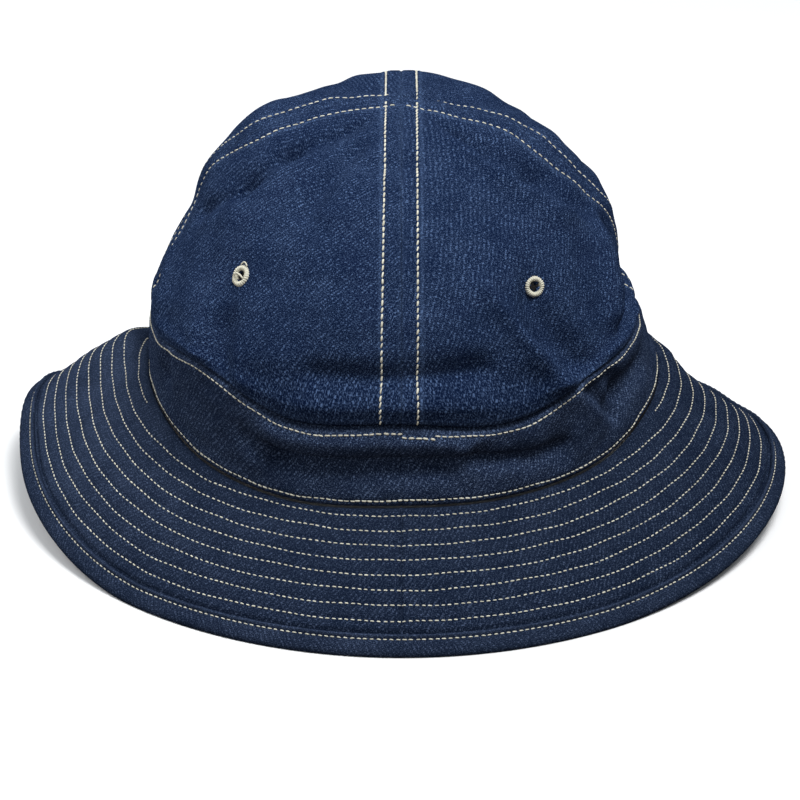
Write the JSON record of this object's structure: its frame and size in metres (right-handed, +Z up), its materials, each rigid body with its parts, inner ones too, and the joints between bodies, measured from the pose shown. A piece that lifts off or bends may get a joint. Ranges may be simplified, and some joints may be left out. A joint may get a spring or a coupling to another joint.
{
  "type": "military hat",
  "caption": "Soft denim military hat with a panelled round crown, a plain band, thread eyelets and a wide stitched sloping brim with a bound edge.",
  "frame": {"origin": "on the floor under the middle of the hat's outline, at the height of the brim edge where it rests", "axes": "+Z up from the floor through the crown, -Y towards the front seam of the band and brim, +X to the right as seen from the front"},
  "size_m": [0.2817, 0.2822, 0.1449],
  "materials": {
    "crown_denim": "indigo denim twill, matte",
    "brim_denim": "indigo denim twill, matte, a little darker",
    "thread": "cream cotton thread"
  },
  "bodies": {
    "root": {"crown_front_right": "crown_denim", "crown_back_right": "crown_denim", "crown_back_left": "crown_denim", "crown_front_left": "crown_denim", "hat_band": "brim_denim", "brim": "brim_denim", "brim_binding": "brim_denim", "eyelet_front_right": "thread", "eyelet_back_right": "thread", "eyelet_back_left": "thread", "eyelet_front_left": "thread"}
  },
  "joints": []
}
